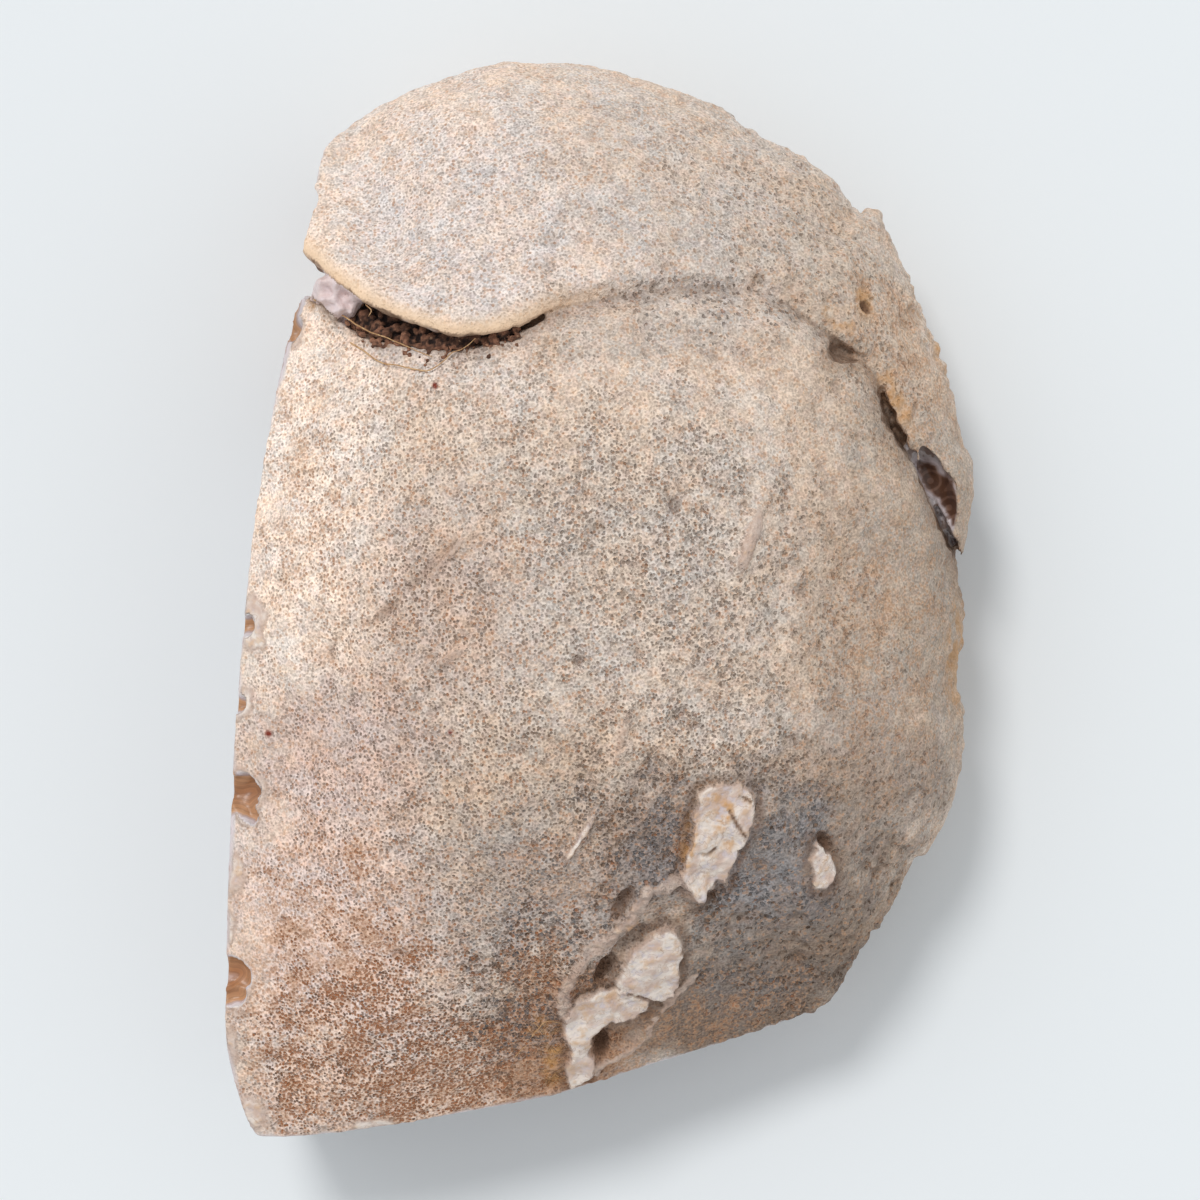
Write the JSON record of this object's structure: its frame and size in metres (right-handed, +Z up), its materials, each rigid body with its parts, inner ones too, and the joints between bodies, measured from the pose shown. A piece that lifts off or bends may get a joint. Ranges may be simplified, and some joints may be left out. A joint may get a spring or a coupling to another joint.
{
  "type": "agate geode",
  "caption": "Agate nodule whose lobes grew together, with a sandy pale rind, a soil-filled crevice and chipped chalcedony patches, sawn flat underneath to rest on a surface.",
  "frame": {"origin": "middle of the outline, on the plane of the sawn underside", "axes": "+X across the stone to the natural rind side, +Y along its length to the upper lobe, +Z up out of the sawn underside through the crown"},
  "size_m": [0.069, 0.099, 0.037],
  "materials": {
    "rind": "rough sandy rind over banded agate",
    "soil": "matte crumbly earth"
  },
  "bodies": {
    "root": {"geode_stone": "rind", "packed_soil": "soil"}
  },
  "joints": []
}
